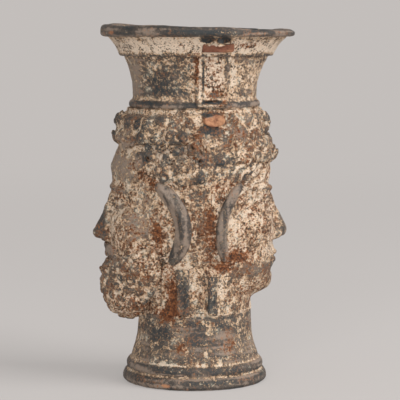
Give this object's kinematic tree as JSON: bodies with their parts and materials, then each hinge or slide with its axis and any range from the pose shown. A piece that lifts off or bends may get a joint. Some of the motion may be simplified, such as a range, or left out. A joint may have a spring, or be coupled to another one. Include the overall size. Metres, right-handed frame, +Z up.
{
  "type": "terracotta jug",
  "caption": "Terracotta jug shaped as a bearded and a beardless head set back to back, on a moulded foot, with a flared neck and mouth and the stubs of a lost strap handle.",
  "frame": {"origin": "centre of the foot's resting ring", "axes": "+Z up; -X the way the bearded head faces, +X the way the beardless head faces; -Y the side with the handle's stubs"},
  "size_m": [0.1139, 0.1092, 0.2007],
  "materials": {
    "black_slipped_clay": "worn black slip, satin",
    "encrusted_clay": "slip under cream lime crust with rust specks, matt",
    "bare_clay": "bare orange clay, matt"
  },
  "bodies": {
    "root": {"foot": "black_slipped_clay", "floor_disc": "bare_clay", "neck": "black_slipped_clay", "mouth": "black_slipped_clay", "bearded_half": "encrusted_clay", "bearded_curls_top": "encrusted_clay", "bearded_curls_side_near": "encrusted_clay", "bearded_curls_side_far": "encrusted_clay", "bearded_curls_temple_near": "encrusted_clay", "bearded_curls_temple_far": "encrusted_clay", "bearded_ear_near": "black_slipped_clay", "bearded_lock_near": "black_slipped_clay", "bearded_ear_far": "black_slipped_clay", "bearded_lock_far": "black_slipped_clay", "beardless_half": "encrusted_clay", "beardless_curls_top": "encrusted_clay", "beardless_curls_fringe": "encrusted_clay", "beardless_curls_temple_near": "encrusted_clay", "beardless_curls_temple_far": "encrusted_clay", "beardless_ear_near": "black_slipped_clay", "beardless_lock_near": "black_slipped_clay", "beardless_ear_far": "black_slipped_clay", "beardless_lock_far": "black_slipped_clay", "beard": "encrusted_clay", "moustache_near": "encrusted_clay", "seam_strip_near": "encrusted_clay", "inner_seam_coil_near": "bare_clay", "moustache_far": "encrusted_clay", "seam_strip_far": "encrusted_clay", "inner_seam_coil_far": "bare_clay", "handle_top_stub": "bare_clay", "handle_bed": "encrusted_clay", "handle_root_stub": "bare_clay"}
  },
  "joints": []
}
